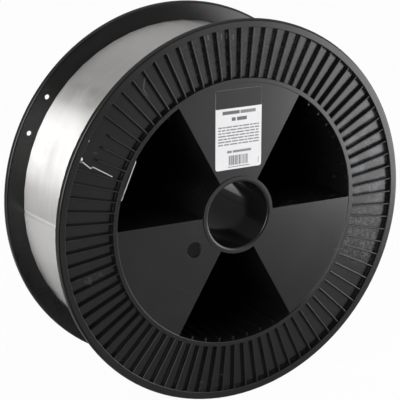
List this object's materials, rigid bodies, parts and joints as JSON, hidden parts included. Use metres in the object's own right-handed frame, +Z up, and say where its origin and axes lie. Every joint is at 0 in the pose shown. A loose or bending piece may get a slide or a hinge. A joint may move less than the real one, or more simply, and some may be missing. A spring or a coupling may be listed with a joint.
{
  "type": "welding wire spool",
  "caption": "Flanged plastic spool with ribbed faces, windowed arms and a central bore, wound full of bright welding wire.",
  "frame": {"origin": "centre of the bore at half the spool's width", "axes": "Y is the spool's axis with the labelled front face towards -Y, +Z is up, +X is to the right seen from the front"},
  "size_m": [0.3, 0.103, 0.3],
  "materials": {
    "spool_plastic": "satin",
    "wound_wire": "satin",
    "bent_wire": "bright",
    "label_paper": "satin"
  },
  "bodies": {
    "root": {"spool": "spool_plastic", "wire_winding": "wound_wire", "wire_outer_end": "bent_wire", "wire_start_end": "bent_wire", "label": "label_paper"}
  },
  "joints": []
}
